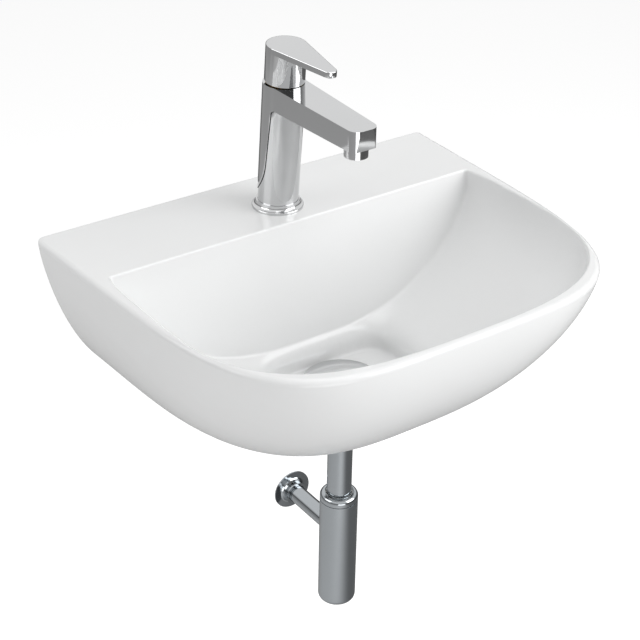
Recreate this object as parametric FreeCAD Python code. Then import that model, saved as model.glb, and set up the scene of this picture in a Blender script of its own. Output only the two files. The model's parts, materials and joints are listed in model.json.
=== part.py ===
import FreeCAD, Part
import math
import os

# Wall-hung hand basin with a single-lever tap, a push-open waste and a bottle trap.
# Millimetres. X runs along the wall, the wall is the plane Y = 0 and the user stands
# on the -Y side, Z is up. The origin is midway between the two wall bolts.

os.makedirs("parts", exist_ok=True)
Vector = FreeCAD.Vector

# Basin, outside
basin_width = 448.0
basin_depth = 358.0
rim_above_bolts = 65.0
foot_half_width = 144.0
foot_front = 250.0
side_swell_power = 1.4
side_swell_root = 1.8
front_swell_power = 1.69
front_swell_root = 1.3
rim_roundness = 4.42
foot_roundness = 2.9
side_taper = 0.054
side_line_front = 60.0
shoulder_radius = 4.8
rear_corner_radius = 10.0
corner_slack = 0.2

# Basin, bowl
bowl_rim_corner = 5.924
bowl_rim_front = 9.0
bowl_corner_share = 0.45
bowl_front = basin_depth - bowl_rim_front
ramp_top = 101.0
ramp_slope = 0.19
bowl_depth = 145.0
foot_below_bowl = 9.0
basin_height = bowl_depth + foot_below_bowl
ramp_foot = ramp_top + ramp_slope * bowl_depth
waste_from_ramp = 44.45
waste_from_wall = ramp_foot + waste_from_ramp
bowl_rear_reach = 119.0
bowl_front_roundness = 3.15
bowl_rear_roundness = 4.6
bowl_fall_power = 1.6
well_height = 17.0
bowl_fall_depth = bowl_depth - well_height
well_share = 0.365
well_blend = 2.5
floor_share = 0.31
bowl_lip_radius = 2.0
crease_radius = 4.0

# Basin, walls and holes
wall = 11.0
deck_thickness = 14.0
rear_wall = 14.0
foot_ledge_side = 22.0
foot_ledge_front = 24.0
foot_opening_half_width = foot_half_width - foot_ledge_side
foot_opening_front = foot_front - foot_ledge_front
rear_arch_half_width = 95.0
rear_arch_top = 100.0
bolt_spacing = 280.0
bolt_hole_diameter = 14.0
tap_hole_diameter = 35.0
waste_hole_diameter = 46.0
waste_seat_diameter = 67.0
waste_boss_diameter = 66.0
waste_boss_below_bowl = 10.0

# Tap
tap_from_wall = 63.6
tap_lean = 4.8
column_diameter = 39.0
shroud_diameter = 40.2
tap_top = 128.7
tap_top_fall = 0.026
spout_underside = 106.1
spout_reach = 136.6
spout_root_half_width = 18.3
spout_tip_half_width = 13.8
spout_tip_radius = 9.0
spout_tip_rake = 1.5
groove_width = 0.7
groove_depth = 0.6
spout_bore = 11.0
leg_corner_front = 15.6
leg_knee_front = 8.0
leg_knee_height = 48.0
leg_heel_back = 24.0
leg_heel_height = 11.0
leg_corner_radius = 5.0
tap_seal_thickness = 1.5
tap_seal_diameter = 38.0
tap_seal_bore = 31.0
base_ring_diameter = 49.6
base_ring_height = 8.0
base_ring_lip = 2.6
base_ring_flare = 3.2
base_ring_wall = 0.8
aerator_reach = 121.4
aerator_diameter = 21.8
aerator_drop = 9.4
aerator_thread_diameter = 18.6
aerator_thread_length = 9.0
stud_spacing = 23.0
stud_diameter = 8.0
stud_length = 74.0
stud_grip = 13.0
hose_spacing = 15.0
hose_thread_diameter = 9.2
hose_thread_depth = 15.0
waterway_diameter = 8.0
bracket_diameter = 48.0
bracket_gasket = 3.0
bracket_plate = 2.5
stud_nut_flats = 13.0
stud_nut_height = 6.5

# Cartridge, measured along the leaning tap axis from the deck
chamber_diameter = 35.2
chamber_floor = 84.0
cartridge_diameter = 34.8
cartridge_seal_height = 4.0
cartridge_seal_diameter = 30.0
port_diameter = 6.5
port_circle = 15.0
cup_floor = 4.0
cup_height = 34.0
cup_bore_diameter = 29.0
neck_diameter = 24.4
neck_bore_diameter = 20.6
neck_height = 16.0
neck_shoulder = 24.0
fixed_disc_height = 5.0
moving_disc_height = 4.0
moving_disc_diameter = 22.0
moving_disc_rest = 2.9
disc_boss_diameter = 12.0
disc_boss_height = 4.6
disc_gap = 0.05
carrier_clearance = 0.3
pivot_above_seam = 1.5
pivot_diameter = 3.0
spindle_width = 7.0
spindle_depth = 6.0
spindle_ball_diameter = 6.0
spindle_waist_diameter = 4.4
spindle_ball_height = 104.4
spindle_above_pivot = 18.5
lift_angle = 12.0
cartridge_nut_bore = 25.0
cartridge_nut_top = 8.0
cartridge_nut_flats = 27.0

# Lever
handle_diameter = 37.6
handle_bore_diameter = 34.0
handle_gap = 1.6
handle_relief = 7.0
lever_top = 165.6
lever_reach = 73.0
lever_rise = -0.05
lever_thickness = 5.8
lever_tip_radius = 6.0
handle_cavity = 12.0
lever_edge_radius = 1.0
grub_diameter = 5.0
grub_length = 9.0
plug_diameter = 7.0
plug_length = 2.4

# Waste
waste_seat_recess = 1.0
waste_seat_depth = bowl_depth + waste_seat_recess
waste_seal_thickness = 1.2
waste_flange_diameter = 65.0
waste_flange_thickness = 1.8
waste_tail_diameter = 41.8
waste_tail_bore = 36.0
waste_tail_below_bowl = 55.0
waste_tail_end = bowl_depth + waste_tail_below_bowl
cone_seal_height = 4.0
slip_washer_height = 1.5
back_nut_flats = 54.0
back_nut_height = 9.5
dome_diameter = 75.0
dome_edge = 2.0
dome_height = 6.6
dome_lift = 8.0
dome_gap = 0.8
stem_diameter = 6.0
guide_depth = 21.0
guide_height = 10.0
guide_hub_diameter = 13.0
guide_arm_width = 4.0
stem_length = 40.0
cap_seal_diameter = 56.0
cap_seal_width = 4.0

# Trap
inlet_diameter = 24.7
inlet_wall = 1.0
inlet_below_bowl = 31.0
inlet_top = bowl_depth + inlet_below_bowl
top_nut_diameter = 51.0
top_nut_below_bowl = 41.0
top_nut_height = 20.0
top_nut_top = bowl_depth + top_nut_below_bowl
top_nut_bottom = top_nut_top + top_nut_height
top_seal_height = 4.5
collar_below_bowl = 125.0
collar_top = bowl_depth + collar_below_bowl
collar_height = 8.9
bottle_top = collar_top + collar_height
bottle_height = 125.6
bottle_bottom = bottle_top + bottle_height
inlet_above_base = 32.5
inlet_end = bottle_bottom - inlet_above_base
bottle_diameter = 38.2
bottle_wall = 1.9
bottle_floor = 5.0
bottle_roof = 3.0
bottle_bottom_radius = 6.5
bottle_neck_diameter = 31.6
bottle_neck_height = 4.5
collar_seal_height = 2.0
collar_washer_height = 1.0
collar_eye_diameter = 28.0
collar_round = 5.0
arm_below_roof = 40.0
arm_height = bottle_top + arm_below_roof
arm_diameter = 18.4
arm_wall = 1.0
arm_end = 83.0
arm_spigot_diameter = 18.0
rosette_back = 90.0
rosette_diameter = 42.0
rosette_edge = 1.4
rosette_dish = 2.2
rosette_flare_width = 2.2
rosette_flare_height = 3.0
rosette_hub_diameter = 25.0
rosette_hub_length = 10.5
rosette_ring_length = 3.0

# Clearances, each measured on the radius
thread_clearance = 0.05
slide_clearance = 0.05
free_clearance = 0.3

deck = rim_above_bolts
tap_base = Vector(0, -tap_from_wall, deck)
drain_y = -waste_from_wall


def save(name, shape):
    solid = shape.removeSplitter()
    if len(solid.Solids) == 1:
        solid = solid.Solids[0]
    solid.exportStep("parts/" + name + ".step")


def upright(diameter, bottom, top, x=0.0, y=0.0):
    return Part.makeCylinder(diameter / 2, top - bottom, Vector(x, y, bottom))


def tube(outer, inner, bottom, top, x=0.0, y=0.0):
    return upright(outer, bottom, top, x, y).cut(upright(inner, bottom - 1, top + 1, x, y))


def block(x0, x1, y0, y1, z0, z1):
    return Part.makeBox(x1 - x0, y1 - y0, z1 - z0, Vector(x0, y0, z0))


def hexagon(flats, bottom, top, x=0.0, y=0.0):
    radius = flats / math.sqrt(3)
    corners = []
    for step in range(7):
        angle = math.radians(60 * step)
        corners.append(Vector(x + radius * math.cos(angle), y + radius * math.sin(angle), bottom))
    return Part.Face(Part.makePolygon(corners)).extrude(Vector(0, 0, top - bottom))


def turned(profile, x=0.0, y=0.0):
    corners = [Vector(x + radius, y, height) for radius, height in profile]
    corners.append(corners[0])
    face = Part.Face(Part.makePolygon(corners))
    return face.revolve(Vector(x, y, 0), Vector(0, 0, 1), 360)


def lean(shape):
    leaning = shape.copy()
    leaning.rotate(tap_base, Vector(1, 0, 0), tap_lean)
    return leaning


def below_deck(depth):
    return deck - depth


def edges_where(shape, test):
    return [edge for edge in shape.Edges if test(edge.BoundBox)]


# Basin shell: open outlines at growing depth, closed far behind the wall and then trimmed by it.
def outer_outline(half_width, front, roundness, depth):
    length = front - side_line_front
    behind_wall = 30.0
    points = []
    for step in range(4):
        y = behind_wall - step * (behind_wall + side_line_front) / 4
        points.append((half_width, y))
    count = 26
    for step in range(count + 1):
        angle = math.pi * step / count
        across = abs(math.cos(angle)) / half_width
        along = abs(math.sin(angle)) / length
        reach = (across ** roundness + along ** roundness) ** (-1 / roundness)
        points.append((reach * math.cos(angle), -side_line_front - reach * math.sin(angle)))
    for x, y in reversed(points[:4]):
        points.append((-x, y))
    tapered = []
    for x, y in points:
        narrowing = 1 - side_taper * (-side_line_front - y) / length
        tapered.append(Vector(x * narrowing, y, deck - depth))
    curve = Part.BSplineCurve()
    curve.interpolate(tapered)
    return Part.Wire([curve.toShape(), Part.makeLine(tapered[-1], tapered[0])])


def shell_profile(inset, top, height):
    profile = []
    for fraction in (0, 0.1, 0.22, 0.36, 0.5, 0.64, 0.76, 0.86, 0.93, 0.975, 1):
        depth = top + fraction * (height - top)
        share = depth / height
        side_swell = (1 - share ** side_swell_power) ** (1 / side_swell_root)
        front_swell = (1 - share ** front_swell_power) ** (1 / front_swell_root)
        half_width = foot_half_width + (basin_width / 2 / (1 + rim_widening) - foot_half_width) * side_swell
        front = foot_front + (basin_depth - foot_front) * front_swell
        profile.append((depth, half_width - inset, front - inset))
    return profile


def shell_loft(inset, top, height):
    sections = []
    for depth, half_width, front in shell_profile(inset, top, height):
        roundness = rim_roundness + (foot_roundness - rim_roundness) * depth / height
        sections.append(outer_outline(half_width, front, roundness, depth))
    return Part.makeLoft(sections, True, False)


def trim_behind(solid, plane_y):
    behind = block(-basin_width, basin_width, plane_y, 60, deck - 2 * basin_height, deck + 60)
    return solid.cut(behind)


# The rounded rim runs out square against the wall, where a second loft rounds only the rear corners.
def corner_outline(half_width, depth):
    reach = basin_depth + 40
    side = half_width + corner_slack
    rear = corner_slack
    radius = rear_corner_radius + corner_slack
    bulge = radius * (1 - math.sqrt(0.5))

    def spot(x, y):
        return Vector(x, y, deck - depth)

    def arc(sign):
        start = spot(sign * side, rear - radius)
        middle = spot(sign * (side - bulge), rear - bulge)
        end = spot(sign * (side - radius), rear)
        return Part.Arc(start, middle, end).toShape()

    edges = [
        Part.makeLine(spot(-side, -reach), spot(side, -reach)),
        Part.makeLine(spot(side, -reach), spot(side, rear - radius)),
        arc(1),
        Part.makeLine(spot(side - radius, rear), spot(radius - side, rear)),
        arc(-1),
        Part.makeLine(spot(-side, rear - radius), spot(-side, -reach)),
    ]
    return Part.Wire(Part.__sortEdges__(edges))


def rounded_shell():
    plain = shell_loft(0, 0, basin_height)
    rim = edges_where(plain, lambda box: box.ZMin > deck - 0.01 and box.YMin < -10)
    round_rim = plain.makeFillet(shoulder_radius, rim)
    sections = []
    for depth, half_width, front in shell_profile(0, 0, basin_height):
        rear_half = half_width * (1 + side_taper * side_line_front / (front - side_line_front))
        sections.append(corner_outline(rear_half, depth))
    return trim_behind(round_rim.common(Part.makeLoft(sections, True, False)), 0)


rim_widening = side_taper * side_line_front / (basin_depth - side_line_front)


# The rim is tightest well forward on its tapering sides, and the bowl's width is set from the rim left there.
def rim_half_width(front):
    share = (front - side_line_front) / (basin_depth - side_line_front)
    swell = (1 - share ** rim_roundness) ** (1 / rim_roundness)
    return basin_width / 2 / (1 + rim_widening) * swell * (1 - side_taper * share)


bowl_corner_front = waste_from_wall + bowl_corner_share * (bowl_front - waste_from_wall)
bowl_corner_swell = (1 - bowl_corner_share ** bowl_front_roundness) ** (1 / bowl_front_roundness)
bowl_half_width = round((rim_half_width(bowl_corner_front) - bowl_rim_corner) / bowl_corner_swell, 3)


# Bowl: closed outlines about the drain, trimmed at the rear by a steep flat ramp.
def bowl_outline(share, depth, offset):
    points = []
    count = 48
    for step in range(count):
        angle = 2 * math.pi * step / count + math.pi / 2
        if math.sin(angle) < 0:
            length = bowl_front - waste_from_wall + offset / share
            roundness = bowl_front_roundness
        else:
            length = bowl_rear_reach + offset / share
            roundness = bowl_rear_roundness
        across = abs(math.cos(angle)) / (bowl_half_width + offset / share)
        along = abs(math.sin(angle)) / length
        reach = share * (across ** roundness + along ** roundness) ** (-1 / roundness)
        points.append(Vector(reach * math.cos(angle), drain_y + reach * math.sin(angle), deck - depth))
    curve = Part.BSplineCurve()
    curve.interpolate(Points=points, PeriodicFlag=True)
    return Part.Wire([curve.toShape()])


# The bowl narrows with depth like part of an ellipse, down to a steep well round the waste.
def bowl_share(depth):
    fall = max(0.0, 1 - (depth / bowl_fall_depth) ** 2) ** (1 / bowl_fall_power)
    well = well_share ** well_blend
    return ((fall ** well_blend + well) / (1 + well)) ** (1 / well_blend)


def bowl_solid(offset):
    full_depth = bowl_depth + offset
    sections = [bowl_outline(1, -24, offset), bowl_outline(1, -12, offset)]
    for fraction in (0, 0.13, 0.26, 0.39, 0.52, 0.65, 0.76, 0.85, 0.92, 0.975):
        sections.append(bowl_outline(bowl_share(fraction * bowl_depth), fraction * full_depth, offset))
    sections.append(bowl_outline(floor_share, full_depth, offset))
    solid = Part.makeLoft(sections, True, False)
    slant = math.hypot(1, ramp_slope)
    rise = 60.0
    drop = basin_height + 40.0
    top = -ramp_top + offset * slant
    side = [
        Vector(-basin_width, top + ramp_slope * rise, deck + rise),
        Vector(-basin_width, basin_depth, deck + rise),
        Vector(-basin_width, basin_depth, deck - drop),
        Vector(-basin_width, top - ramp_slope * drop, deck - drop),
    ]
    behind = Part.Face(Part.makePolygon(side + side[:1])).extrude(Vector(2 * basin_width, 0, 0))
    return solid.cut(behind)


def make_basin():
    basin = rounded_shell().cut(bowl_solid(0)).Solids[0]
    crease = edges_where(basin, lambda box: box.ZMin < deck - bowl_depth / 2 and box.ZMax > deck - 15
                         and box.XLength > bowl_half_width / 2
                         and box.YMin > drain_y and box.YMax < 6 - ramp_top)
    basin = basin.makeFillet(crease_radius, crease)
    lip = edges_where(basin, lambda box: box.ZMin > deck - 0.01 and box.YMin > -bowl_front - 2.5
                      and box.YMax < -ramp_top + 0.5)
    basin = basin.makeFillet(bowl_lip_radius, lip)
    hollow = trim_behind(shell_loft(wall, deck_thickness, basin_height - wall), -rear_wall)
    opening_start = basin_height - 2 * wall
    opening_wire = outer_outline(foot_opening_half_width, foot_opening_front, foot_roundness, opening_start)
    opening = Part.Face(opening_wire).extrude(Vector(0, 0, -3 * wall))
    inside = block(-basin_width, basin_width, -2 * basin_depth, -rear_wall, -2 * basin_height, deck)
    hollow = hollow.fuse(opening.common(inside)).cut(bowl_solid(wall))
    basin = basin.cut(hollow)
    boss_top = below_deck(bowl_depth + 3)
    boss_bottom = below_deck(bowl_depth + waste_boss_below_bowl)
    basin = basin.fuse(upright(waste_boss_diameter, boss_bottom, boss_top, 0, drain_y))
    seat_floor = below_deck(waste_seat_depth)
    basin = basin.cut(upright(waste_seat_diameter, seat_floor, below_deck(bowl_depth / 2), 0, drain_y))
    basin = basin.cut(upright(waste_hole_diameter, below_deck(2 * basin_height), deck, 0, drain_y))
    tap_hole_end = below_deck(2 * deck_thickness)
    basin = basin.cut(upright(tap_hole_diameter, tap_hole_end, deck + 10, 0, -tap_from_wall))
    for side in (-1, 1):
        start = Vector(side * bolt_spacing / 2, 1, 0)
        basin = basin.cut(Part.makeCylinder(bolt_hole_diameter / 2, rear_wall + 2, start, Vector(0, -1, 0)))
    arch_top = below_deck(rear_arch_top)
    arch_bottom = arch_top - basin_height
    arch = block(-rear_arch_half_width, rear_arch_half_width, -rear_wall - 1, 1, arch_bottom, arch_top)
    return basin.cut(arch)


save("basin", make_basin())


# Tap body. Its side view is drawn with distances in front of the tap hole and heights above the deck.
def tap_point(front, height, x=0.0):
    return Vector(x, -tap_from_wall - front, deck + height)


axis_front = tap_top * math.tan(math.radians(tap_lean))


def top_height(front):
    return tap_top - tap_top_fall * (front - axis_front)


def across_tap(points):
    half = 60.0
    corners = [point - Vector(half, 0, 0) for point in points]
    return Part.Face(Part.makePolygon(corners + corners[:1])).extrude(Vector(2 * half, 0, 0))


def on_axis(diameter, bottom, top, x=0.0, y=0.0):
    return upright(diameter, deck + bottom, deck + top, x, y - tap_from_wall)


# Side view of the band that runs up the rear of the column and out along the spout.
band_half = 60.0


def band_face():
    back = 60.0
    shift = Vector(-band_half, 0, 0)
    rear_top = tap_point(-back, top_height(-back)) + shift
    tip_top = tap_point(spout_reach, top_height(spout_reach)) + shift
    tip_bottom = tap_point(spout_reach - spout_tip_rake, spout_underside) + shift
    corner_front = tap_point(leg_corner_front + leg_corner_radius, spout_underside) + shift
    corner_down = tap_point(leg_corner_front, spout_underside - leg_corner_radius) + shift
    bulge = leg_corner_radius * (1 - math.sqrt(0.5))
    corner_middle = tap_point(leg_corner_front + bulge, spout_underside - bulge) + shift
    knee = tap_point(leg_knee_front, leg_knee_height) + shift
    heel = tap_point(-leg_heel_back, leg_heel_height) + shift
    bend_front = leg_knee_front - 0.3 * (leg_knee_front + leg_heel_back)
    bend_height = leg_heel_height + 0.4 * (leg_knee_height - leg_heel_height)
    bend = tap_point(bend_front, bend_height) + shift
    rear_bottom = tap_point(-back, leg_heel_height) + shift
    outline = [
        Part.makeLine(rear_top, tip_top),
        Part.makeLine(tip_top, tip_bottom),
        Part.makeLine(tip_bottom, corner_front),
        Part.Arc(corner_front, corner_middle, corner_down).toShape(),
        Part.makeLine(corner_down, knee),
        Part.Arc(knee, bend, heel).toShape(),
        Part.makeLine(heel, rear_bottom),
        Part.makeLine(rear_bottom, rear_top),
    ]
    return Part.Face(Part.Wire(outline))


def make_shroud():
    side_view = band_face().extrude(Vector(2 * band_half, 0, 0))
    root = axis_front - 2
    low = spout_underside - 30
    plan = [
        tap_point(root, low, -spout_root_half_width),
        tap_point(spout_reach, low, -spout_tip_half_width),
        tap_point(spout_reach, low, spout_tip_half_width),
        tap_point(root, low, spout_root_half_width),
    ]
    spout = Part.Face(Part.makePolygon(plan + plan[:1])).extrude(Vector(0, 0, 80))
    tip_y = tap_point(spout_reach, 0).y
    tip_edges = edges_where(spout, lambda box: box.ZLength > 70 and box.YMax < tip_y + 0.1)
    spout = spout.makeFillet(spout_tip_radius, tip_edges)
    pillar = lean(on_axis(shroud_diameter, -20, 160))
    return side_view.common(pillar.fuse(spout))


# A shadow groove follows the band's edge where it meets the column.
def band_groove():
    wider = band_face().makeOffset2D(groove_width)
    strip = wider.cut(band_face()).extrude(Vector(2 * band_half, 0, 0))
    ring = on_axis(shroud_diameter + 2, 5, 160).cut(on_axis(column_diameter - 2 * groove_depth, 0, 170))
    return strip.common(lean(ring))


def make_tap_body():
    far = 60.0
    keep = across_tap([
        tap_point(-far, tap_seal_thickness),
        tap_point(far, tap_seal_thickness),
        tap_point(far, top_height(far)),
        tap_point(-far, top_height(-far)),
    ])
    column = lean(on_axis(column_diameter, -20, 160)).common(keep)
    body = column.cut(band_groove()).fuse(make_shroud())
    body = body.cut(lean(on_axis(chamber_diameter, chamber_floor, 160)))
    waterline = (spout_underside + top_height(spout_reach)) / 2
    bore_start = tap_point(axis_front, waterline)
    bore_length = aerator_reach - axis_front
    body = body.cut(Part.makeCylinder(spout_bore / 2, bore_length, bore_start, Vector(0, -1, 0)))
    socket_y = -tap_from_wall - aerator_reach
    socket_top = deck + spout_underside + aerator_thread_length + aerator_washer_height
    socket_bore = aerator_thread_diameter + 2 * thread_clearance
    body = body.cut(upright(socket_bore, deck + spout_underside - 1, socket_top, 0, socket_y))
    for side in (-1, 1):
        hose_x = side * hose_spacing / 2
        body = body.cut(on_axis(hose_thread_diameter, 0, tap_seal_thickness + hose_thread_depth, hose_x))
        body = body.cut(lean(on_axis(waterway_diameter, 10, chamber_floor + 1, hose_x)))
        stud_y = side * stud_spacing / 2
        stud_bore = stud_diameter + 2 * thread_clearance
        body = body.cut(on_axis(stud_bore, 0, tap_seal_thickness + stud_grip + 1, 0, stud_y))
    return body


aerator_washer_height = 1.2
save("tap_body", make_tap_body())

base_ring = turned([
    (tap_hole_diameter / 2, deck),
    (base_ring_diameter / 2, deck),
    (base_ring_diameter / 2, deck + base_ring_lip),
    (shroud_diameter / 2 + base_ring_wall, deck + base_ring_lip),
    (shroud_diameter / 2 + base_ring_wall, deck + base_ring_height),
    (tap_hole_diameter / 2, deck + base_ring_height),
], 0, -tap_from_wall)
step_edges = edges_where(base_ring, lambda box: abs(box.ZMin - deck - base_ring_lip) < 0.01
                         and box.ZLength < 0.01 and box.XLength < shroud_diameter + 2)
base_ring = base_ring.makeFillet(base_ring_flare, step_edges)
lip_edges = edges_where(base_ring, lambda box: abs(box.ZMin - deck - base_ring_lip) < 0.01
                        and box.ZLength < 0.01 and box.XLength > base_ring_diameter - 0.1)
base_ring = base_ring.makeFillet(base_ring_lip / 3, lip_edges)
base_ring = base_ring.cut(lean(on_axis(column_diameter + free_clearance, -20, 40)))
save("tap_base_ring", base_ring)

tap_seal = on_axis(tap_seal_diameter, 0, tap_seal_thickness)
save("tap_base_seal", tap_seal.cut(on_axis(tap_seal_bore, -1, 3)))

gasket_top = -deck_thickness
plate_top = gasket_top - bracket_gasket
nut_top = plate_top - bracket_plate


def bracket_layer(bottom, top):
    layer = on_axis(bracket_diameter, bottom, top)
    half_slot = (stud_spacing - stud_diameter) / 2 - 1.2
    slot = block(-hose_spacing, bracket_diameter, -tap_from_wall - half_slot, -tap_from_wall + half_slot,
                 deck + bottom - 1, deck + top + 1)
    layer = layer.cut(slot)
    stud_hole = stud_diameter + 2 * free_clearance
    for side in (-1, 1):
        layer = layer.cut(on_axis(stud_hole, bottom - 1, top + 1, 0, side * stud_spacing / 2))
    return layer


save("bracket_gasket", bracket_layer(plate_top, gasket_top))
save("bracket_plate", bracket_layer(nut_top, plate_top))

for side, place in ((-1, "front"), (1, "rear")):
    stud_y = side * stud_spacing / 2
    stud_top = tap_seal_thickness + stud_grip
    save("tap_stud_" + place, on_axis(stud_diameter, stud_top - stud_length, stud_top, 0, stud_y))
    nut = hexagon(stud_nut_flats, deck + nut_top - stud_nut_height, deck + nut_top, 0, stud_y - tap_from_wall)
    nut_bore = on_axis(stud_diameter + 2 * thread_clearance, nut_top - 20, nut_top + 1, 0, stud_y)
    save("stud_nut_" + place, nut.cut(nut_bore))

# Aerator
aerator_y = -tap_from_wall - aerator_reach
aerator_bore = aerator_thread_diameter - 2.6
collar_bottom = deck + spout_underside - aerator_drop
thread_top = deck + spout_underside + aerator_thread_length
housing = turned([
    (aerator_bore / 2 - 1, collar_bottom),
    (aerator_diameter / 2, collar_bottom),
    (aerator_diameter / 2, deck + spout_underside),
    (aerator_thread_diameter / 2, deck + spout_underside),
    (aerator_thread_diameter / 2, thread_top),
    (aerator_bore / 2, thread_top),
    (aerator_bore / 2, collar_bottom + 1.2),
    (aerator_bore / 2 - 1, collar_bottom + 1.2),
], 0, aerator_y)
save("aerator_housing", housing)
insert_diameter = aerator_bore - 2 * slide_clearance
insert = upright(insert_diameter, collar_bottom + 1.2, thread_top - 1, 0, aerator_y)
for ring_radius, holes in ((0.0, 1), (3.4, 6), (6.8, 12)):
    for step in range(holes):
        angle = 2 * math.pi * step / holes
        hole_x = ring_radius * math.cos(angle)
        hole_y = aerator_y + ring_radius * math.sin(angle)
        insert = insert.cut(upright(2.2, collar_bottom, thread_top, hole_x, hole_y))
save("aerator_insert", insert)
save("aerator_washer", tube(aerator_thread_diameter, aerator_bore - 4, thread_top,
                            thread_top + aerator_washer_height, 0, aerator_y))

# Cartridge. Heights run along the leaning axis.
seal_top = chamber_floor + cartridge_seal_height
cup_inside = seal_top + cup_floor
cup_top = seal_top + cup_height
shoulder_height = seal_top + neck_shoulder
neck_top = cup_top + neck_height
disc_bottom = cup_inside + fixed_disc_height + disc_gap
disc_top = disc_bottom + moving_disc_height
seam = tap_top / math.cos(math.radians(tap_lean)) + handle_gap
pivot = seam + pivot_above_seam


def with_ports(shape):
    for step in range(3):
        angle = math.radians(120 * step - 90)
        port_x = port_circle / 2 * math.cos(angle)
        port_y = port_circle / 2 * math.sin(angle)
        shape = shape.cut(on_axis(port_diameter, chamber_floor - 1, disc_bottom - disc_gap, port_x, port_y))
    return shape


save("cartridge_seal", lean(with_ports(on_axis(cartridge_seal_diameter, chamber_floor, seal_top))))
cartridge = on_axis(cartridge_diameter, seal_top, cup_top)
cartridge = cartridge.fuse(on_axis(neck_diameter, cup_top, neck_top))
cartridge = cartridge.cut(on_axis(cup_bore_diameter, cup_inside, shoulder_height))
cartridge = cartridge.cut(on_axis(neck_bore_diameter, shoulder_height - 1, neck_top + 1))
save("cartridge_body", lean(with_ports(cartridge)))

fixed_disc_diameter = cup_bore_diameter - 2 * carrier_clearance
save("fixed_disc", lean(with_ports(on_axis(fixed_disc_diameter, cup_inside, disc_bottom - disc_gap))))

boss_top = disc_top + disc_boss_height
ball_room = spindle_ball_diameter + 0.8
moving_disc = on_axis(moving_disc_diameter, disc_bottom, disc_top, 0, moving_disc_rest)
moving_disc = moving_disc.fuse(on_axis(disc_boss_diameter, disc_top, boss_top))
moving_disc = moving_disc.cut(on_axis(ball_room, disc_top + 0.2, boss_top + 1))
save("moving_disc", lean(moving_disc))

swing = (pivot - spindle_ball_height) * math.sin(math.radians(lift_angle))
carrier_bottom = disc_top + carrier_clearance
carrier_top = neck_top - 1
carrier_diameter = cup_bore_diameter - 2 * carrier_clearance
carrier = on_axis(carrier_diameter, carrier_bottom, shoulder_height - carrier_clearance)
carrier = carrier.fuse(on_axis(neck_bore_diameter - 2 * carrier_clearance, carrier_bottom, carrier_top))


def carrier_slot(half_width, front, rear, bottom, top):
    y_front = -tap_from_wall - front
    y_rear = -tap_from_wall + rear
    return block(-half_width, half_width, y_front, y_rear, deck + bottom, deck + top)


boss_half = disc_boss_diameter / 2 + 0.5
boss_room = carrier_slot(boss_half, boss_half + swing, boss_half, carrier_bottom - 1, boss_top + 0.8)
carrier = carrier.cut(boss_room)
spindle_half = spindle_width / 2 + free_clearance
front_room = spindle_depth / 2 + 0.8 * swing + 1
rear_room = spindle_depth / 2 + 2
carrier = carrier.cut(carrier_slot(spindle_half, front_room, rear_room, carrier_bottom - 1, carrier_top + 1))
pin_length = neck_bore_diameter - 2 * carrier_clearance - 1


def pivot_pin(diameter, length):
    start = Vector(-length / 2, -tap_from_wall, deck + pivot)
    return Part.makeCylinder(diameter / 2, length, start, Vector(1, 0, 0))


pin_bore = pivot_pin(pivot_diameter + 2 * slide_clearance, 40)
save("cartridge_carrier", lean(carrier.cut(pin_bore)))
save("pivot_pin", lean(pivot_pin(pivot_diameter, pin_length)))

bar_bottom = spindle_ball_height + spindle_ball_diameter / 2
spindle_top = pivot + spindle_above_pivot
spindle = block(-spindle_width / 2, spindle_width / 2, -tap_from_wall - spindle_depth / 2,
                -tap_from_wall + spindle_depth / 2, deck + bar_bottom, deck + spindle_top)
spindle = spindle.fuse(on_axis(spindle_waist_diameter, spindle_ball_height, bar_bottom + 1))
ball_centre = Vector(0, -tap_from_wall, deck + spindle_ball_height)
spindle = spindle.fuse(Part.makeSphere(spindle_ball_diameter / 2, ball_centre))
save("cartridge_spindle", lean(spindle.cut(pin_bore)))

nut_flange_top = tap_top - 1
cartridge_nut = on_axis(chamber_diameter - 2 * thread_clearance, cup_top, nut_flange_top)
cartridge_nut = cartridge_nut.fuse(hexagon(cartridge_nut_flats, deck + nut_flange_top,
                                           deck + nut_flange_top + cartridge_nut_top, 0, -tap_from_wall))
save("cartridge_nut", lean(cartridge_nut.cut(on_axis(cartridge_nut_bore, cup_top - 1, neck_top + 5))))


# Lever handle: a short cylinder under a flat drop-shaped plate, drawn upright and then leaned.
def drop_outline(radius, tip_radius, reach, height):
    span = reach - tip_radius
    slant = math.asin((radius - tip_radius) / span)
    corner_x = math.cos(slant)
    corner_y = math.sin(slant)

    def spot(x, y):
        return Vector(x, y - tap_from_wall, deck + height)

    right = spot(radius * corner_x, -radius * corner_y)
    left = spot(-radius * corner_x, -radius * corner_y)
    tip_right = spot(tip_radius * corner_x, -span - tip_radius * corner_y)
    tip_left = spot(-tip_radius * corner_x, -span - tip_radius * corner_y)
    outline = [
        Part.Arc(right, spot(0, radius), left).toShape(),
        Part.makeLine(left, tip_left),
        Part.Arc(tip_left, spot(0, -reach), tip_right).toShape(),
        Part.makeLine(tip_right, right),
    ]
    return Part.Face(Part.Wire(outline))


def above_plane(height, rise_degrees):
    reach = 2 * spout_reach
    bottom = deck + height
    slab = block(-reach, reach, -reach - tap_from_wall, reach - tap_from_wall, bottom, bottom + reach)
    slab.rotate(Vector(0, -tap_from_wall, deck + height), Vector(1, 0, 0), -rise_degrees)
    return slab


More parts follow.
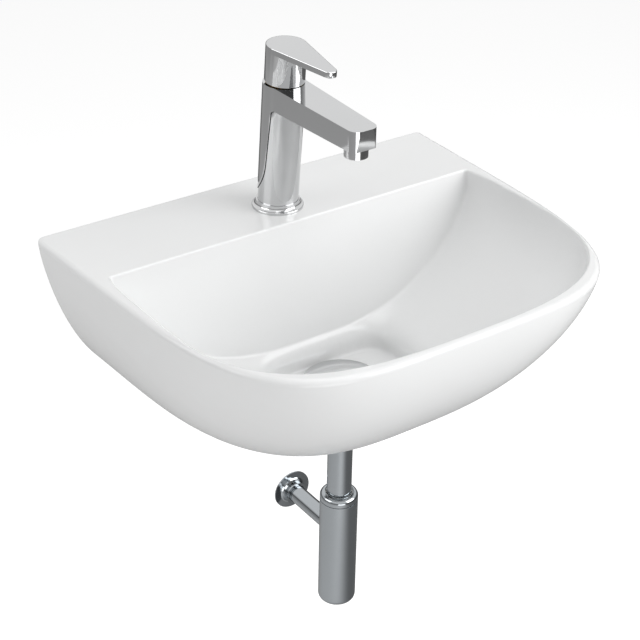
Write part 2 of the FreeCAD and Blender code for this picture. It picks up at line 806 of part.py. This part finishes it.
def make_handle():
    plate_rise = tap_lean + math.degrees(math.atan(lever_rise))
    plate_top = lever_top / math.cos(math.radians(tap_lean))
    plate = drop_outline(handle_diameter / 2, lever_tip_radius, lever_reach, seam).extrude(Vector(0, 0, 90))
    plate = plate.common(above_plane(plate_top - lever_thickness, plate_rise))
    skirt = on_axis(handle_diameter, seam, plate_top + 30)
    handle = plate.fuse(skirt).cut(above_plane(plate_top, plate_rise))
    rim = edges_where(handle, lambda box: box.ZMin > deck + plate_top - handle_diameter / 2
                      and box.YLength + box.XLength > 2 * lever_thickness)
    top_edges = [edge for edge in rim if edge.CenterOfMass.z > deck + plate_top
                 - math.tan(math.radians(plate_rise)) * (edge.CenterOfMass.y + tap_from_wall) - 1]
    handle = handle.makeFillet(lever_edge_radius, top_edges)
    relief = block(-60, 60, -tap_from_wall, 60 - tap_from_wall, deck + seam - 60, deck + seam)
    relief.rotate(Vector(0, -tap_from_wall, deck + seam), Vector(1, 0, 0), handle_relief)
    handle = handle.cut(relief)
    cavity_top = seam + handle_cavity
    handle = handle.cut(on_axis(handle_bore_diameter, seam - 1, cavity_top))
    socket = block(-spindle_width / 2 - slide_clearance, spindle_width / 2 + slide_clearance,
                   -tap_from_wall - spindle_depth / 2 - slide_clearance,
                   -tap_from_wall + spindle_depth / 2 + slide_clearance,
                   deck + cavity_top - 1, deck + spindle_top + 1)
    handle = handle.cut(socket)
    handle = handle.cut(radial(grub_diameter + 2 * thread_clearance, 0, handle_diameter))
    return handle.cut(radial(plug_diameter + 2 * slide_clearance, plug_start, handle_diameter))


def radial(diameter, start, end):
    base = Vector(0, -tap_from_wall + start, deck + grub_height)
    return Part.makeCylinder(diameter / 2, end - start, base, Vector(0, 1, 0))


grub_height = spindle_top - grub_diameter / 2 - 1
grub_start = spindle_depth / 2
plug_start = handle_diameter / 2 - plug_length - 0.4
save("lever_handle", lean(make_handle()))
grub = radial(grub_diameter, grub_start, grub_start + grub_length)
hex_socket = hexagon(2.5, 0, 4)
hex_socket.rotate(Vector(0, 0, 0), Vector(1, 0, 0), -90)
hex_socket.translate(Vector(0, -tap_from_wall + grub_start + grub_length - 3.5, deck + grub_height))
save("lever_grub_screw", lean(grub.cut(hex_socket)))
save("lever_plug", lean(radial(plug_diameter, plug_start, plug_start + plug_length)))

# Waste. Depths run down from the deck.
flange_bottom = below_deck(waste_seat_depth - waste_seal_thickness)
flange_top = flange_bottom + waste_flange_thickness
tail_end = below_deck(waste_tail_end)
waste_body = turned([
    (waste_tail_bore / 2, tail_end),
    (waste_tail_diameter / 2, tail_end),
    (waste_tail_diameter / 2, flange_bottom),
    (waste_flange_diameter / 2, flange_bottom),
    (waste_flange_diameter / 2, flange_top),
    (waste_tail_bore / 2 + 5, flange_top),
    (waste_tail_bore / 2, flange_top - 6),
], 0, drain_y)
save("waste_body", waste_body)
save("waste_flange_seal", tube(waste_flange_diameter - 3, waste_hole_diameter + 2,
                               below_deck(waste_seat_depth), flange_bottom, 0, drain_y))

boss_bottom = below_deck(bowl_depth + waste_boss_below_bowl)
cone_bottom = boss_bottom - cone_seal_height
washer_bottom = cone_bottom - slip_washer_height
back_nut_bottom = washer_bottom - back_nut_height
thread_bore = waste_tail_diameter + 2 * thread_clearance
cone_seal = turned([
    (thread_bore / 2, cone_bottom),
    (thread_bore / 2 + 7, cone_bottom),
    (thread_bore / 2 + 9, boss_bottom - cone_seal_height / 2),
    (thread_bore / 2 + 9, boss_bottom),
    (thread_bore / 2, boss_bottom),
], 0, drain_y)
save("waste_cone_seal", cone_seal)
save("waste_slip_washer", tube(thread_bore + 17, thread_bore, washer_bottom, cone_bottom, 0, drain_y))
back_nut = hexagon(back_nut_flats, back_nut_bottom, washer_bottom, 0, drain_y)
save("waste_back_nut", back_nut.cut(upright(thread_bore, back_nut_bottom - 1, washer_bottom + 1, 0, drain_y)))

guide_top = flange_top - guide_depth
guide_bottom = guide_top - guide_height
guide_outside = waste_tail_bore - 2 * thread_clearance
guide = tube(guide_outside, guide_outside - 5, guide_bottom, guide_top, 0, drain_y)
guide = guide.fuse(upright(guide_hub_diameter, guide_bottom, guide_top, 0, drain_y))
for step in range(3):
    arm = block(0, guide_outside / 2 - 1, drain_y - guide_arm_width / 2, drain_y + guide_arm_width / 2,
                guide_bottom, guide_top)
    arm.rotate(Vector(0, drain_y, 0), Vector(0, 0, 1), 120 * step + 90)
    guide = guide.fuse(arm)
guide = guide.cut(upright(stem_diameter + 2 * slide_clearance, guide_bottom - 1, guide_top + 1, 0, drain_y))
save("waste_guide", guide)

dome_bottom = flange_top + dome_gap
dome_rise = dome_height - dome_edge
dome_radius = ((dome_diameter / 2) ** 2 + dome_rise ** 2) / (2 * dome_rise)
dome_ball = Part.makeSphere(dome_radius, Vector(0, drain_y, dome_bottom + dome_height - dome_radius))
dome = upright(dome_diameter, dome_bottom, dome_bottom + dome_height + 1, 0, drain_y).common(dome_ball)
dome_rim = edges_where(dome, lambda box: box.ZMin > dome_bottom + 0.5 and box.XLength > dome_diameter - 1
                       and box.ZLength < 0.1)
save("waste_dome", dome.makeFillet(dome_edge / 3, dome_rim))
save("waste_stem", upright(stem_diameter, dome_bottom - stem_length, dome_bottom, 0, drain_y))
save("waste_cap_seal", tube(cap_seal_diameter, cap_seal_diameter - 2 * cap_seal_width,
                            flange_top + slide_clearance, dome_bottom, 0, drain_y))

# Trap
seal_floor = below_deck(waste_tail_end + top_seal_height)
nut_bottom = below_deck(top_nut_bottom)
inlet_bore = inlet_diameter + 2 * free_clearance
top_nut = turned([
    (thread_bore / 2, below_deck(top_nut_top)),
    (top_nut_diameter / 2, below_deck(top_nut_top)),
    (top_nut_diameter / 2, nut_bottom + 3),
    (top_nut_diameter / 2 - 2.5, nut_bottom),
    (inlet_bore / 2, nut_bottom),
    (inlet_bore / 2, seal_floor),
    (thread_bore / 2, seal_floor),
], 0, drain_y)
save("trap_top_nut", top_nut)
save("trap_top_seal", tube(thread_bore - 1, inlet_diameter, seal_floor, tail_end, 0, drain_y))
save("trap_inlet", tube(inlet_diameter, inlet_diameter - 2 * inlet_wall, below_deck(inlet_end),
                        below_deck(inlet_top), 0, drain_y))

bottle_roof_top = below_deck(bottle_top)
neck_end = bottle_roof_top + bottle_neck_height
bottle_inside = bottle_diameter / 2 - bottle_wall
bottle = turned([
    (inlet_bore / 2, neck_end),
    (bottle_neck_diameter / 2, neck_end),
    (bottle_neck_diameter / 2, bottle_roof_top),
    (bottle_diameter / 2, bottle_roof_top),
    (bottle_diameter / 2, below_deck(bottle_bottom)),
    (0, below_deck(bottle_bottom)),
    (0, below_deck(bottle_bottom - bottle_floor)),
    (bottle_inside, below_deck(bottle_bottom - bottle_floor)),
    (bottle_inside, bottle_roof_top - bottle_roof),
    (inlet_bore / 2, bottle_roof_top - bottle_roof),
], 0, drain_y)
bottle_edge = edges_where(bottle, lambda box: box.ZMax < below_deck(bottle_bottom) + 0.01
                          and box.XLength > bottle_diameter - 0.1)
bottle = bottle.makeFillet(bottle_bottom_radius, bottle_edge)


def level_arm(diameter, start, end):
    base = Vector(0, start, below_deck(arm_height))
    return Part.makeCylinder(diameter / 2, end - start, base, Vector(0, 1, 0))


bottle = bottle.cut(level_arm(arm_diameter + 2 * thread_clearance, drain_y, drain_y + bottle_diameter))
save("trap_bottle", bottle)
arm_start = drain_y + bottle_inside - 0.7
arm_bore = level_arm(arm_diameter - 2 * arm_wall, arm_start - 1, 1 - arm_end)
arm = level_arm(arm_diameter, arm_start, -rosette_back)
arm = arm.fuse(level_arm(arm_spigot_diameter, arm_start, -arm_end))
save("trap_arm", arm.cut(arm_bore))

seal_end = neck_end + collar_seal_height
washer_end = seal_end + collar_washer_height
collar_crown = below_deck(collar_top)
collar_bore = bottle_neck_diameter + 2 * thread_clearance
save("trap_collar_seal", tube(bottle_neck_diameter - 0.4, inlet_diameter, neck_end, seal_end, 0, drain_y))
save("trap_collar_washer", tube(bottle_neck_diameter - 0.4, inlet_bore, seal_end, washer_end, 0, drain_y))
collar = turned([
    (collar_bore / 2, bottle_roof_top),
    (bottle_diameter / 2, bottle_roof_top),
    (bottle_diameter / 2, collar_crown),
    (collar_eye_diameter / 2, collar_crown),
    (collar_eye_diameter / 2, washer_end),
    (collar_bore / 2, washer_end),
], 0, drain_y)
crown_edge = edges_where(collar, lambda box: box.ZMin > collar_crown - 0.01
                         and box.XLength > bottle_diameter - 0.1)
collar = collar.makeFillet(collar_round, crown_edge)
foot_edge = edges_where(collar, lambda box: box.ZMax < bottle_roof_top + 0.01
                        and box.XLength > bottle_diameter - 0.1)
save("trap_collar", collar.makeFillet(1.0, foot_edge))


# Wall rosette, turned upright and laid on the arm with its back towards the wall.
def on_arm(shape):
    shape.rotate(Vector(0, 0, 0), Vector(1, 0, 0), 90)
    shape.translate(Vector(0, -rosette_back, below_deck(arm_height)))
    return shape


rosette_bore = arm_diameter + 2 * free_clearance
ring_start = (rosette_hub_length - rosette_ring_length) / 2
ring_end = ring_start + rosette_ring_length
ring_outside = rosette_bore + 3.2
rosette = turned([
    (rosette_bore / 2, 0),
    (rosette_diameter / 2, 0),
    (rosette_diameter / 2, rosette_edge),
    (rosette_hub_diameter / 2 + rosette_flare_width, rosette_dish),
    (rosette_hub_diameter / 2 + rosette_flare_width / 3, rosette_dish + rosette_flare_height / 3),
    (rosette_hub_diameter / 2, rosette_dish + rosette_flare_height),
    (rosette_hub_diameter / 2, rosette_hub_length),
    (rosette_bore / 2, rosette_hub_length),
    (rosette_bore / 2, ring_end),
    (ring_outside / 2, ring_end),
    (ring_outside / 2, ring_start),
    (rosette_bore / 2, ring_start),
])
save("wall_rosette", on_arm(rosette))
save("rosette_ring", on_arm(tube(ring_outside, arm_diameter + 2 * slide_clearance, ring_start, ring_end)))
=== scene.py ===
import json
import math

import bmesh
import bpy
from mathutils import Matrix, Vector


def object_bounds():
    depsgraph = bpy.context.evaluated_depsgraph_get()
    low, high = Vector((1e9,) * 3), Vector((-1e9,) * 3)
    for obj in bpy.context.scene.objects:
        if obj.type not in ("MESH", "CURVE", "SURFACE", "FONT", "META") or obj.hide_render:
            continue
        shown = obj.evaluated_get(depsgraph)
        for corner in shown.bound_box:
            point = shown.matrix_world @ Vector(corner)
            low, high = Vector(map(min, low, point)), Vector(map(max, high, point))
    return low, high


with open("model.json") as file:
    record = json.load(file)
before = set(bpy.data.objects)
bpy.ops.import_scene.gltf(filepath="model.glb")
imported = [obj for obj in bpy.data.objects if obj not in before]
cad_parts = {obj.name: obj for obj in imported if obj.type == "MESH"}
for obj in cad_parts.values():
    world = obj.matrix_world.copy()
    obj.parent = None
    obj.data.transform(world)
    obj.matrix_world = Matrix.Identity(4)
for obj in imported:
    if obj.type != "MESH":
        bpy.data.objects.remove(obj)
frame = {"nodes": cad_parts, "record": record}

# Wall-hung hand basin with a single-lever tap, a push-open waste and a bottle trap.
# Metres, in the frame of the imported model: the wall is Y = 0, the user stands on the -Y side, Z is up.

cad_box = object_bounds()
record = frame["record"]
nodes = frame["nodes"]

# Camera
camera_place = Vector((-0.74156, -1.16267, 0.71264))
camera_aim = Vector((0.01668, -0.11266, -0.04405))
camera_roll = math.radians(0.99)
lens_length = 86.8
sensor_width = 36.0

# Finishes, as linear colours
china_white = (0.83, 0.835, 0.835)
chrome_tint = (0.62, 0.625, 0.63)
# The trap's bluish-grey plating, darkened below the tap's chrome as painted shade for the darker
# surroundings it mirrors
trap_shaded_tint = (0.43, 0.455, 0.475)
# Painted light: the waste chrome is lighter than the tap's, so the dome reads brighter
waste_lit_tint = (0.68, 0.685, 0.69)
brass_tint = (0.62, 0.45, 0.20)
steel_tint = (0.50, 0.49, 0.47)
rubber_black = (0.018, 0.018, 0.019)
plastic_white = (0.78, 0.78, 0.76)
plastic_grey = (0.24, 0.25, 0.26)
alumina_white = (0.74, 0.73, 0.69)
# Painted shade: the near black that the plating's grooves and seams are darkened to
painted_shade_black = (0.05, 0.05, 0.05)
glaze_roughness = (0.17, 0.24)
glaze_index = 1.52

# Handle edges
handle_weld = 1e-6
handle_edge_roll = 0.0006
handle_edge_angle = math.radians(38)

# Stage
floor_drop = 0.55
floor_size = 60.0
floor_shade = 0.80
floor_lift = 0.55
backdrop_strength = 1.0
room_light = 0.45
horizon_start = 0.0
horizon_end = 0.42
horizon_glow = 0.08
# Painted reflection: to glossy rays only, the floor is lighter on the left and darker on the right, so the
# plating mirrors a dark right-hand side
painted_reflection_left = 0.78
painted_reflection_right = 0.20
painted_reflection_reach = 0.6
basin_middle = (0.0, -0.15, 0.0)

# Lamps: where each soft box stands in metres, its width and height, and its watts
soft_boxes = {
    "right_box": ((1.15, -1.6, 0.85), (1.7, 1.4), 29.5),
    "top_box": ((0.25, -0.30, 1.7), (1.2, 1.0), 7.0),
    "left_box": ((-1.5, 0.25, 0.75), (1.2, 1.0), 8.0),
    "low_box": ((-0.5, -1.5, -0.45), (1.0, 0.6), 4.5),
}


# Shader helpers

def add_node(tree, kind, **values):
    node = tree.nodes.new(kind)
    for name, value in values.items():
        setattr(node, name, value)
    return node


def new_group(name, inputs, outputs):
    group = bpy.data.node_groups.new(name, "ShaderNodeTree")
    for label, kind, default in inputs:
        socket = group.interface.new_socket(label, in_out="INPUT", socket_type=kind)
        if default is not None:
            socket.default_value = default
    for label, kind in outputs:
        group.interface.new_socket(label, in_out="OUTPUT", socket_type=kind)
    start = add_node(group, "NodeGroupInput")
    end = add_node(group, "NodeGroupOutput")
    return group, start, end


def noise(tree, place, scale, detail, roughness=0.5):
    node = add_node(tree, "ShaderNodeTexNoise")
    node.inputs["Detail"].default_value = detail
    node.inputs["Roughness"].default_value = roughness
    tree.links.new(place, node.inputs["Vector"])
    if isinstance(scale, (int, float)):
        node.inputs["Scale"].default_value = scale
    else:
        tree.links.new(scale, node.inputs["Scale"])
    return node.outputs["Fac"]


def math_node(tree, operation, first, second):
    node = add_node(tree, "ShaderNodeMath", operation=operation)
    for socket, value in zip(node.inputs, (first, second)):
        if isinstance(value, (int, float)):
            socket.default_value = value
        else:
            tree.links.new(value, socket)
    return node.outputs[0]


def spread(tree, value, low, high):
    node = add_node(tree, "ShaderNodeMapRange")
    node.inputs["To Min"].default_value = low
    node.inputs["To Max"].default_value = high
    tree.links.new(value, node.inputs["Value"])
    return node.outputs["Result"]


def blend_value(tree, mask, first, second):
    node = add_node(tree, "ShaderNodeMix", data_type="FLOAT")
    for socket, value in zip(node.inputs[:1] + node.inputs[2:4], (mask, first, second)):
        if isinstance(value, (int, float)):
            socket.default_value = value
        else:
            tree.links.new(value, socket)
    return node.outputs[0]


def tone_mix(tree, mask, dark, light):
    node = add_node(tree, "ShaderNodeMix", data_type="RGBA")
    tree.links.new(mask, node.inputs["Factor"])
    for socket, tone in zip(node.inputs[6:8], (dark, light)):
        if isinstance(tone, tuple):
            socket.default_value = (*tone, 1)
        else:
            tree.links.new(tone, socket)
    return node.outputs[2]


# Slow waves and fine pitting of a poured surface: glaze, plating over a casting, moulded skin.
def make_poured_skin():
    group, start, end = new_group(
        "poured_skin",
        [("Place", "NodeSocketVector", None), ("Wave Scale", "NodeSocketFloat", 30.0),
         ("Pit Scale", "NodeSocketFloat", 900.0), ("Pit Share", "NodeSocketFloat", 0.1)],
        [("Height", "NodeSocketFloat"), ("Tone", "NodeSocketFloat"), ("Pits", "NodeSocketFloat")],
    )
    place = start.outputs["Place"]
    waves = noise(group, place, start.outputs["Wave Scale"], 1.5, 0.4)
    pits = noise(group, place, start.outputs["Pit Scale"], 2.0, 0.5)
    tone = noise(group, place, math_node(group, "MULTIPLY", start.outputs["Wave Scale"], 0.37), 3.0, 0.5)
    shallow = math_node(group, "MULTIPLY", pits, start.outputs["Pit Share"])
    group.links.new(math_node(group, "ADD", waves, shallow), end.inputs["Height"])
    group.links.new(tone, end.inputs["Tone"])
    group.links.new(pits, end.inputs["Pits"])
    return group


# Faint wipe marks and dried-water spots that only dull a polished surface.
def make_wipe_marks():
    group, start, end = new_group(
        "wipe_marks",
        [("Place", "NodeSocketVector", None), ("Stroke Scale", "NodeSocketFloat", 60.0),
         ("Spot Scale", "NodeSocketFloat", 240.0)],
        [("Strokes", "NodeSocketFloat"), ("Spots", "NodeSocketFloat")],
    )
    stretch = add_node(group, "ShaderNodeMapping")
    stretch.inputs["Scale"].default_value = (1.0, 1.0, 9.0)
    stretch.inputs["Rotation"].default_value = (0.5, 0.3, 0.0)
    group.links.new(start.outputs["Place"], stretch.inputs["Vector"])
    strokes = noise(group, stretch.outputs["Vector"], start.outputs["Stroke Scale"], 4.0, 0.6)
    cells = add_node(group, "ShaderNodeTexVoronoi", feature="F1")
    group.links.new(start.outputs["Place"], cells.inputs["Vector"])
    group.links.new(start.outputs["Spot Scale"], cells.inputs["Scale"])
    edge = add_node(group, "ShaderNodeMapRange", interpolation_type="SMOOTHSTEP")
    edge.inputs["From Min"].default_value = 0.12
    edge.inputs["From Max"].default_value = 0.22
    edge.inputs["To Min"].default_value = 1.0
    edge.inputs["To Max"].default_value = 0.0
    group.links.new(cells.outputs["Distance"], edge.inputs["Value"])
    patches = noise(group, start.outputs["Place"], 22.0, 1.0)
    chosen = math_node(group, "GREATER_THAN", patches, 0.58)
    group.links.new(strokes, end.inputs["Strokes"])
    group.links.new(math_node(group, "MULTIPLY", edge.outputs["Result"], chosen), end.inputs["Spots"])
    return group


# Fine parallel tool lines round a turned piece or along a drawn one.
def make_tool_lines():
    group, start, end = new_group(
        "tool_lines",
        [("Place", "NodeSocketVector", None), ("Line Scale", "NodeSocketFloat", 1800.0)],
        [("Height", "NodeSocketFloat"), ("Mask", "NodeSocketFloat")],
    )
    lines = add_node(group, "ShaderNodeTexWave", wave_type="BANDS", bands_direction="Z")
    lines.inputs["Distortion"].default_value = 1.2
    lines.inputs["Detail"].default_value = 2.0
    group.links.new(start.outputs["Place"], lines.inputs["Vector"])
    group.links.new(start.outputs["Line Scale"], lines.inputs["Scale"])
    broken = noise(group, start.outputs["Place"], 340.0, 3.0, 0.6)
    group.links.new(math_node(group, "MULTIPLY", lines.outputs["Fac"], broken), end.inputs["Height"])
    group.links.new(broken, end.inputs["Mask"])
    return group


# Painted shade for a mirror finish: an occlusion mask darkens the plating's colour in its grooves and seams,
# where shade falls, which a reflection alone doesn't show.
def make_painted_seam_shade():
    group, start, end = new_group(
        "painted_seam_shade",
        [("Reach", "NodeSocketFloat", 0.0016), ("Deep", "NodeSocketFloat", 0.35),
         ("Open", "NodeSocketFloat", 0.8)],
        [("Unshaded", "NodeSocketFloat")],
    )
    depth = add_node(group, "ShaderNodeAmbientOcclusion", samples=8, only_local=True)
    group.links.new(start.outputs["Reach"], depth.inputs["Distance"])
    unshaded = add_node(group, "ShaderNodeMapRange", interpolation_type="SMOOTHSTEP")
    group.links.new(depth.outputs["AO"], unshaded.inputs["Value"])
    group.links.new(start.outputs["Deep"], unshaded.inputs["From Min"])
    group.links.new(start.outputs["Open"], unshaded.inputs["From Max"])
    group.links.new(unshaded.outputs["Result"], end.inputs["Unshaded"])
    return group


poured_skin = make_poured_skin()
wipe_marks = make_wipe_marks()
tool_lines = make_tool_lines()
painted_seam_shade = make_painted_seam_shade()


def start_material(name):
    material = bpy.data.materials.new(name)
    material.use_nodes = True
    tree = material.node_tree
    shader = tree.nodes["Principled BSDF"]
    place = add_node(tree, "ShaderNodeTexCoord").outputs["Object"]
    return material, tree, shader, place


def place_group(tree, group, place, **values):
    node = add_node(tree, "ShaderNodeGroup")
    node.node_tree = group
    if "Place" in node.inputs:
        tree.links.new(place, node.inputs["Place"])
    for label, value in values.items():
        node.inputs[label.replace("_", " ")].default_value = value
    return node


def bump(tree, shader, height, strength, depth):
    node = add_node(tree, "ShaderNodeBump")
    node.inputs["Strength"].default_value = strength
    node.inputs["Distance"].default_value = depth
    tree.links.new(height, node.inputs["Height"])
    tree.links.new(node.outputs["Normal"], shader.inputs["Normal"])


def darker(colour, share):
    return tuple(channel * share for channel in colour)


# Finishes

def glazed_china():
    material, tree, shader, place = start_material("glazed_china")
    skin = place_group(tree, poured_skin, place, Wave_Scale=24.0, Pit_Scale=1400.0, Pit_Share=0.02)
    tone = tone_mix(tree, skin.outputs["Tone"], darker(china_white, 0.975), china_white)
    tree.links.new(tone, shader.inputs["Base Color"])
    tree.links.new(spread(tree, skin.outputs["Pits"], *glaze_roughness), shader.inputs["Roughness"])
    shader.inputs["IOR"].default_value = glaze_index
    bump(tree, shader, skin.outputs["Height"], 0.12, 0.0012)
    return material


def bright_plating(name, tint, dullness):
    material, tree, shader, place = start_material(name)
    skin = place_group(tree, poured_skin, place, Wave_Scale=45.0, Pit_Scale=2600.0, Pit_Share=0.03)
    marks = place_group(tree, wipe_marks, place, Stroke_Scale=70.0, Spot_Scale=260.0)
    seam_shade = place_group(tree, painted_seam_shade, place, Reach=0.0016)
    plate = tone_mix(tree, skin.outputs["Tone"], darker(tint, 0.95), tint)
    # Painted shade: the plating's colour goes to near black where the occlusion mask finds a groove or seam
    tree.links.new(tone_mix(tree, seam_shade.outputs["Unshaded"], painted_shade_black, plate), shader.inputs["Base Color"])
    strokes = spread(tree, marks.outputs["Strokes"], dullness * 0.6, dullness * 1.5)
    spots = math_node(tree, "MULTIPLY", marks.outputs["Spots"], 0.03)
    tree.links.new(math_node(tree, "ADD", strokes, spots), shader.inputs["Roughness"])
    shader.inputs["Metallic"].default_value = 1.0
    bump(tree, shader, skin.outputs["Height"], 0.05, 0.0008)
    return material


def turned_metal(name, tint, roughness):
    material, tree, shader, place = start_material(name)
    lines = place_group(tree, tool_lines, place, Line_Scale=1500.0)
    tone = tone_mix(tree, lines.outputs["Mask"], darker(tint, 0.7), tint)
    tree.links.new(tone, shader.inputs["Base Color"])
    tree.links.new(spread(tree, lines.outputs["Mask"], *roughness), shader.inputs["Roughness"])
    shader.inputs["Metallic"].default_value = 1.0
    bump(tree, shader, lines.outputs["Height"], 0.25, 0.0001)
    return material


def moulded_skin(name, colour, roughness, grain_scale, grain_depth):
    material, tree, shader, place = start_material(name)
    skin = place_group(tree, poured_skin, place, Wave_Scale=160.0, Pit_Scale=grain_scale, Pit_Share=0.6)
    tone = tone_mix(tree, skin.outputs["Tone"], darker(colour, 0.86), colour)
    tree.links.new(tone, shader.inputs["Base Color"])
    tree.links.new(spread(tree, skin.outputs["Pits"], *roughness), shader.inputs["Roughness"])
    bump(tree, shader, skin.outputs["Height"], 0.3, grain_depth)
    return material


finishes = {
    "glazed_china": glazed_china(),
    "tap_chrome": bright_plating("tap_chrome", chrome_tint, dullness=0.05),
    "waste_chrome": bright_plating("waste_chrome", waste_lit_tint, dullness=0.07),
    "trap_chrome": bright_plating("trap_chrome", trap_shaded_tint, dullness=0.09),
    "brass": turned_metal("turned_brass", brass_tint, roughness=(0.22, 0.38)),
    "steel": turned_metal("zinc_steel", steel_tint, roughness=(0.28, 0.45)),
    "black_rubber": moulded_skin(
        "black_rubber", rubber_black, roughness=(0.45, 0.65), grain_scale=1200.0, grain_depth=0.00015),
    "white_plastic": moulded_skin(
        "white_plastic", plastic_white, roughness=(0.30, 0.42), grain_scale=2200.0, grain_depth=0.00008),
    "grey_plastic": moulded_skin(
        "grey_plastic", plastic_grey, roughness=(0.32, 0.46), grain_scale=2200.0, grain_depth=0.00008),
    "valve_ceramic": moulded_skin(
        "valve_ceramic", alumina_white, roughness=(0.16, 0.26), grain_scale=3000.0, grain_depth=0.00003),
}


def dress_nodes():
    for subpart in record["subparts"]:
        obj = nodes[subpart["node"]]
        obj.data.materials.clear()
        obj.data.materials.append(finishes[subpart["material_slot"]])


dress_nodes()


# A plated casting has no sharp edges: the corners of the handle are rolled over a little.
def roll_handle_edges():
    handle = nodes["lever_handle"]
    weld = handle.modifiers.new("join", "WELD")
    weld.merge_threshold = handle_weld
    roll = handle.modifiers.new("roll", "BEVEL")
    roll.limit_method = "ANGLE"
    roll.angle_limit = handle_edge_angle
    roll.width = handle_edge_roll
    roll.segments = 3
    roll.harden_normals = False


roll_handle_edges()


# Stage

def build_floor():
    mesh = bpy.data.meshes.new("floor")
    shape = bmesh.new()
    bmesh.ops.create_grid(shape, x_segments=1, y_segments=1, size=floor_size / 2)
    shape.to_mesh(mesh)
    shape.free()
    floor = bpy.data.objects.new("floor", mesh)
    floor.location.z = cad_box[0][2] - floor_drop
    bpy.context.collection.objects.link(floor)
    material = bpy.data.materials.new("pale_floor")
    material.use_nodes = True
    tree = material.node_tree
    tree.nodes.remove(tree.nodes["Principled BSDF"])
    matt = add_node(tree, "ShaderNodeBsdfDiffuse")
    path = add_node(tree, "ShaderNodeLightPath")
    across = add_node(tree, "ShaderNodeSeparateXYZ")
    tree.links.new(add_node(tree, "ShaderNodeTexCoord").outputs["Object"], across.inputs[0])
    # Painted reflection: glossy rays see the floor shaded from light on the left to dark on the right, while
    # other rays see it evenly
    painted_reflection_side = add_node(tree, "ShaderNodeMapRange", interpolation_type="SMOOTHSTEP")
    painted_reflection_side.inputs["From Min"].default_value = -painted_reflection_reach
    painted_reflection_side.inputs["From Max"].default_value = painted_reflection_reach
    painted_reflection_side.inputs["To Min"].default_value = painted_reflection_left
    painted_reflection_side.inputs["To Max"].default_value = painted_reflection_right
    tree.links.new(across.outputs["X"], painted_reflection_side.inputs["Value"])
    shade = blend_value(tree, path.outputs["Is Glossy Ray"], floor_shade, painted_reflection_side.outputs["Result"])
    tree.links.new(shade, matt.inputs["Color"])
    glow = add_node(tree, "ShaderNodeEmission")
    strength = math_node(tree, "MULTIPLY", path.outputs["Is Camera Ray"], floor_lift)
    tree.links.new(strength, glow.inputs["Strength"])
    both = add_node(tree, "ShaderNodeAddShader")
    tree.links.new(matt.outputs[0], both.inputs[0])
    tree.links.new(glow.outputs[0], both.inputs[1])
    tree.links.new(both.outputs[0], tree.nodes["Material Output"].inputs["Surface"])
    mesh.materials.append(material)


# The backdrop is white to the camera. Plating sees it fade towards a dim horizon, as in a deep studio.
def build_world():
    world = bpy.data.worlds.new("studio")
    bpy.context.scene.world = world
    world.use_nodes = True
    tree = world.node_tree
    back = tree.nodes["Background"]
    back.inputs["Color"].default_value = (1, 1, 1, 1)
    heading = add_node(tree, "ShaderNodeSeparateXYZ")
    tree.links.new(add_node(tree, "ShaderNodeTexCoord").outputs["Generated"], heading.inputs[0])
    rise = add_node(tree, "ShaderNodeMapRange", interpolation_type="SMOOTHSTEP")
    rise.inputs["From Min"].default_value = horizon_start
    rise.inputs["From Max"].default_value = horizon_end
    rise.inputs["To Min"].default_value = horizon_glow
    rise.inputs["To Max"].default_value = backdrop_strength
    tree.links.new(heading.outputs["Z"], rise.inputs["Value"])
    path = add_node(tree, "ShaderNodeLightPath")
    mirrored = math_node(tree, "MAXIMUM", path.outputs["Is Glossy Ray"], path.outputs["Is Transmission Ray"])
    lit = blend_value(tree, mirrored, room_light, rise.outputs["Result"])
    seen = blend_value(tree, path.outputs["Is Camera Ray"], lit, backdrop_strength)
    tree.links.new(seen, back.inputs["Strength"])


def soft_box(name, place, size, power):
    lamp = bpy.data.lights.new(name, "AREA")
    lamp.shape = "RECTANGLE"
    lamp.size = size[0]
    lamp.size_y = size[1]
    lamp.energy = power
    obj = bpy.data.objects.new(name, lamp)
    obj.location = place
    obj.rotation_euler = (Vector(basin_middle) - Vector(place)).to_track_quat("-Z", "Y").to_euler()
    bpy.context.collection.objects.link(obj)


def build_camera():
    lens = bpy.data.cameras.new("camera")
    lens.sensor_fit = "HORIZONTAL"
    lens.sensor_width = sensor_width
    lens.lens = lens_length
    camera = bpy.data.objects.new("camera", lens)
    facing = (camera_aim - camera_place).to_track_quat("-Z", "Y").to_matrix().to_4x4()
    camera.matrix_world = Matrix.Translation(camera_place) @ facing @ Matrix.Rotation(camera_roll, 4, "Z")
    bpy.context.collection.objects.link(camera)
    bpy.context.scene.camera = camera


build_floor()
build_world()
for box_name, (place, size, power) in soft_boxes.items():
    soft_box(box_name, place, size, power)
build_camera()
bpy.context.scene.view_settings.view_transform = "Standard"
